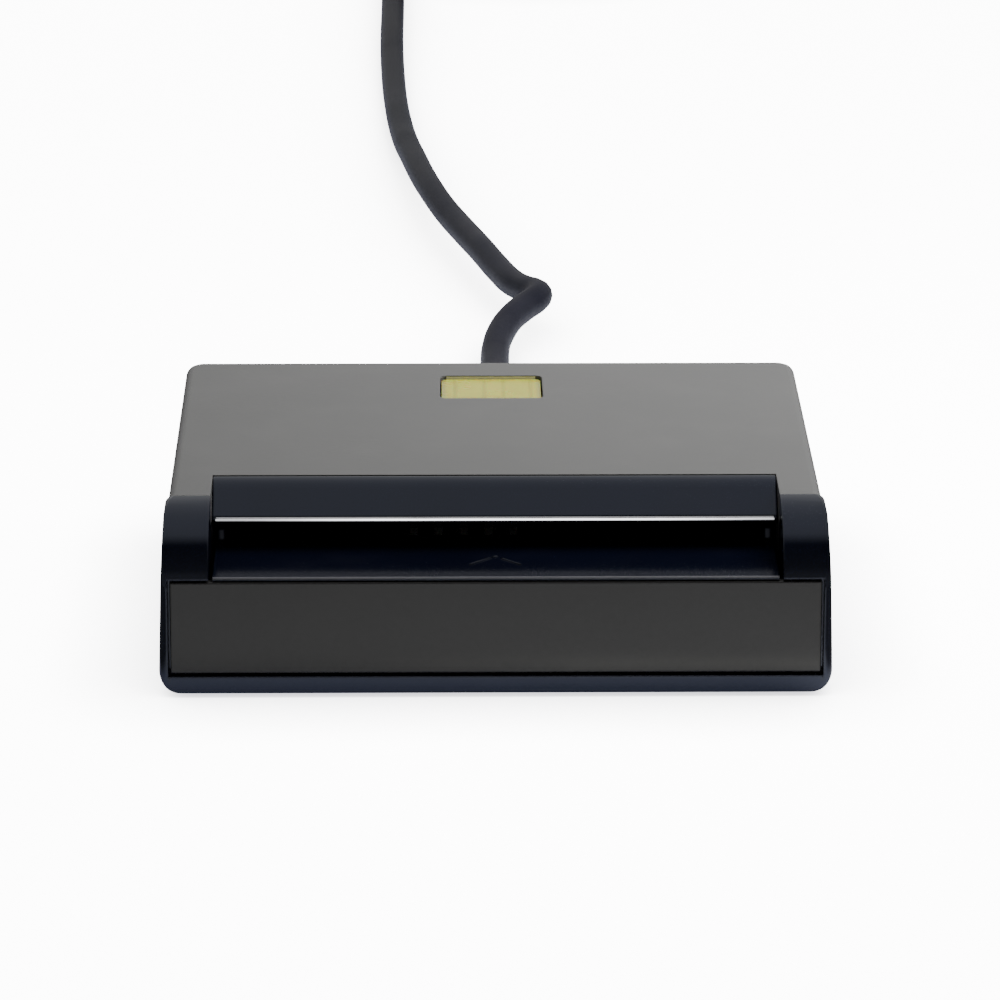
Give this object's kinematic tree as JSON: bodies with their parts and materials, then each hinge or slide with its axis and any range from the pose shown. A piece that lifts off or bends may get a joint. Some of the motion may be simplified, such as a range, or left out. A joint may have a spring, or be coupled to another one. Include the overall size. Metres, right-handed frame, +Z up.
{
  "type": "smart card reader",
  "caption": "Low desktop smart card reader: gray cover, black rolled shoulders, raised hood over a card mouth, lit window and a USB lead.",
  "frame": {"origin": "on the table, under the middle of the body without its lead", "axes": "+X to the right along the front, +Y to the back towards the lead, +Z up"},
  "size_m": [0.0668, 0.4164, 0.0184],
  "materials": {
    "black_satin_plastic": "satin moulded plastic",
    "navy_gloss_plastic": "polished near-black plastic",
    "gray_satin_paint": "satin warm gray",
    "charcoal_gloss_panel": "smooth gloss, slightly warm",
    "bright_trim": "polished",
    "yellow_window": "translucent moulded plastic",
    "circuit_board": "solder mask",
    "white_nylon": "moulded nylon",
    "spring_bronze": "gold flash over bronze",
    "chip_black": "moulded epoxy",
    "can_steel": "bright folded steel",
    "capacitor_tan": "ceramic",
    "light_lens": "clear epoxy",
    "wire_red": "wire insulation",
    "lead_jacket": "smooth flexible jacket",
    "soft_black": "soft moulded",
    "foot_rubber": "matte",
    "tie_black": "matte",
    "plug_white": "moulded plastic",
    "screw_steel": "zinc plated"
  },
  "bodies": {
    "reader": {"bottom_shell": "black_satin_plastic", "top_cover": "gray_satin_paint", "front_frame": "navy_gloss_plastic", "front_panel": "charcoal_gloss_panel", "slot_hood": "navy_gloss_plastic", "hood_trim": "bright_trim", "card_tray": "navy_gloss_plastic", "card_bridge": "black_satin_plastic", "light_window": "yellow_window", "main_board": "circuit_board", "connector_frame": "white_nylon", "contact_tails": "spring_bronze", "switch_base": "white_nylon", "controller_chip": "chip_black", "crystal": "can_steel", "voltage_regulator": "chip_black", "capacitors": "capacitor_tan", "resistors": "chip_black", "status_light_left": "light_lens", "status_light_right": "light_lens", "cord_header": "white_nylon", "cord_wires": "wire_red", "cord_inner_end": "lead_jacket", "strain_relief": "soft_black", "usb_cord": "lead_jacket", "cord_coil": "lead_jacket", "plug_lead": "lead_jacket", "coil_tie": "tie_black", "plug_grip": "soft_black", "plug_shell": "can_steel", "plug_insulator": "plug_white", "plug_contacts": "spring_bronze", "case_screws": "screw_steel", "board_screws": "screw_steel", "rubber_feet": "foot_rubber"},
    "contact_c1": {"contact_c1": "spring_bronze"},
    "contact_c2": {"contact_c2": "spring_bronze"},
    "contact_c3": {"contact_c3": "spring_bronze"},
    "contact_c4": {"contact_c4": "spring_bronze"},
    "contact_c5": {"contact_c5": "spring_bronze"},
    "contact_c6": {"contact_c6": "spring_bronze"},
    "contact_c7": {"contact_c7": "spring_bronze"},
    "contact_c8": {"contact_c8": "spring_bronze"},
    "switch_lever": {"switch_lever": "spring_bronze"}
  },
  "joints": [
    {"name": "contact_c1_press", "type": "hinge", "parent": "reader", "child": "contact_c1", "pos_m": [-0.00691, 0.0066, 0.0102], "axis": [1, 0, 0], "range_deg": [0, 6], "stiffness_Nm_per_rad": 0.02},
    {"name": "contact_c2_press", "type": "hinge", "parent": "reader", "child": "contact_c2", "pos_m": [-0.00437, 0.0066, 0.0102], "axis": [1, 0, 0], "range_deg": [0, 6], "stiffness_Nm_per_rad": 0.02},
    {"name": "contact_c3_press", "type": "hinge", "parent": "reader", "child": "contact_c3", "pos_m": [-0.00183, 0.0066, 0.0102], "axis": [1, 0, 0], "range_deg": [0, 6], "stiffness_Nm_per_rad": 0.02},
    {"name": "contact_c4_press", "type": "hinge", "parent": "reader", "child": "contact_c4", "pos_m": [0.00071, 0.0066, 0.0102], "axis": [1, 0, 0], "range_deg": [0, 6], "stiffness_Nm_per_rad": 0.02},
    {"name": "contact_c5_press", "type": "hinge", "parent": "reader", "child": "contact_c5", "pos_m": [-0.00691, -0.01372, 0.0102], "axis": [-1, 0, 0], "range_deg": [0, 6], "stiffness_Nm_per_rad": 0.02},
    {"name": "contact_c6_press", "type": "hinge", "parent": "reader", "child": "contact_c6", "pos_m": [-0.00437, -0.01372, 0.0102], "axis": [-1, 0, 0], "range_deg": [0, 6], "stiffness_Nm_per_rad": 0.02},
    {"name": "contact_c7_press", "type": "hinge", "parent": "reader", "child": "contact_c7", "pos_m": [-0.00183, -0.01372, 0.0102], "axis": [-1, 0, 0], "range_deg": [0, 6], "stiffness_Nm_per_rad": 0.02},
    {"name": "contact_c8_press", "type": "hinge", "parent": "reader", "child": "contact_c8", "pos_m": [0.00071, -0.01372, 0.0102], "axis": [-1, 0, 0], "range_deg": [0, 6], "stiffness_Nm_per_rad": 0.02},
    {"name": "switch_lever_push", "type": "hinge", "parent": "reader", "child": "switch_lever", "pos_m": [0.015, 0.0104, 0.0102], "axis": [-1, 0, 0], "range_deg": [0, 28], "stiffness_Nm_per_rad": 0.0006}
  ]
}
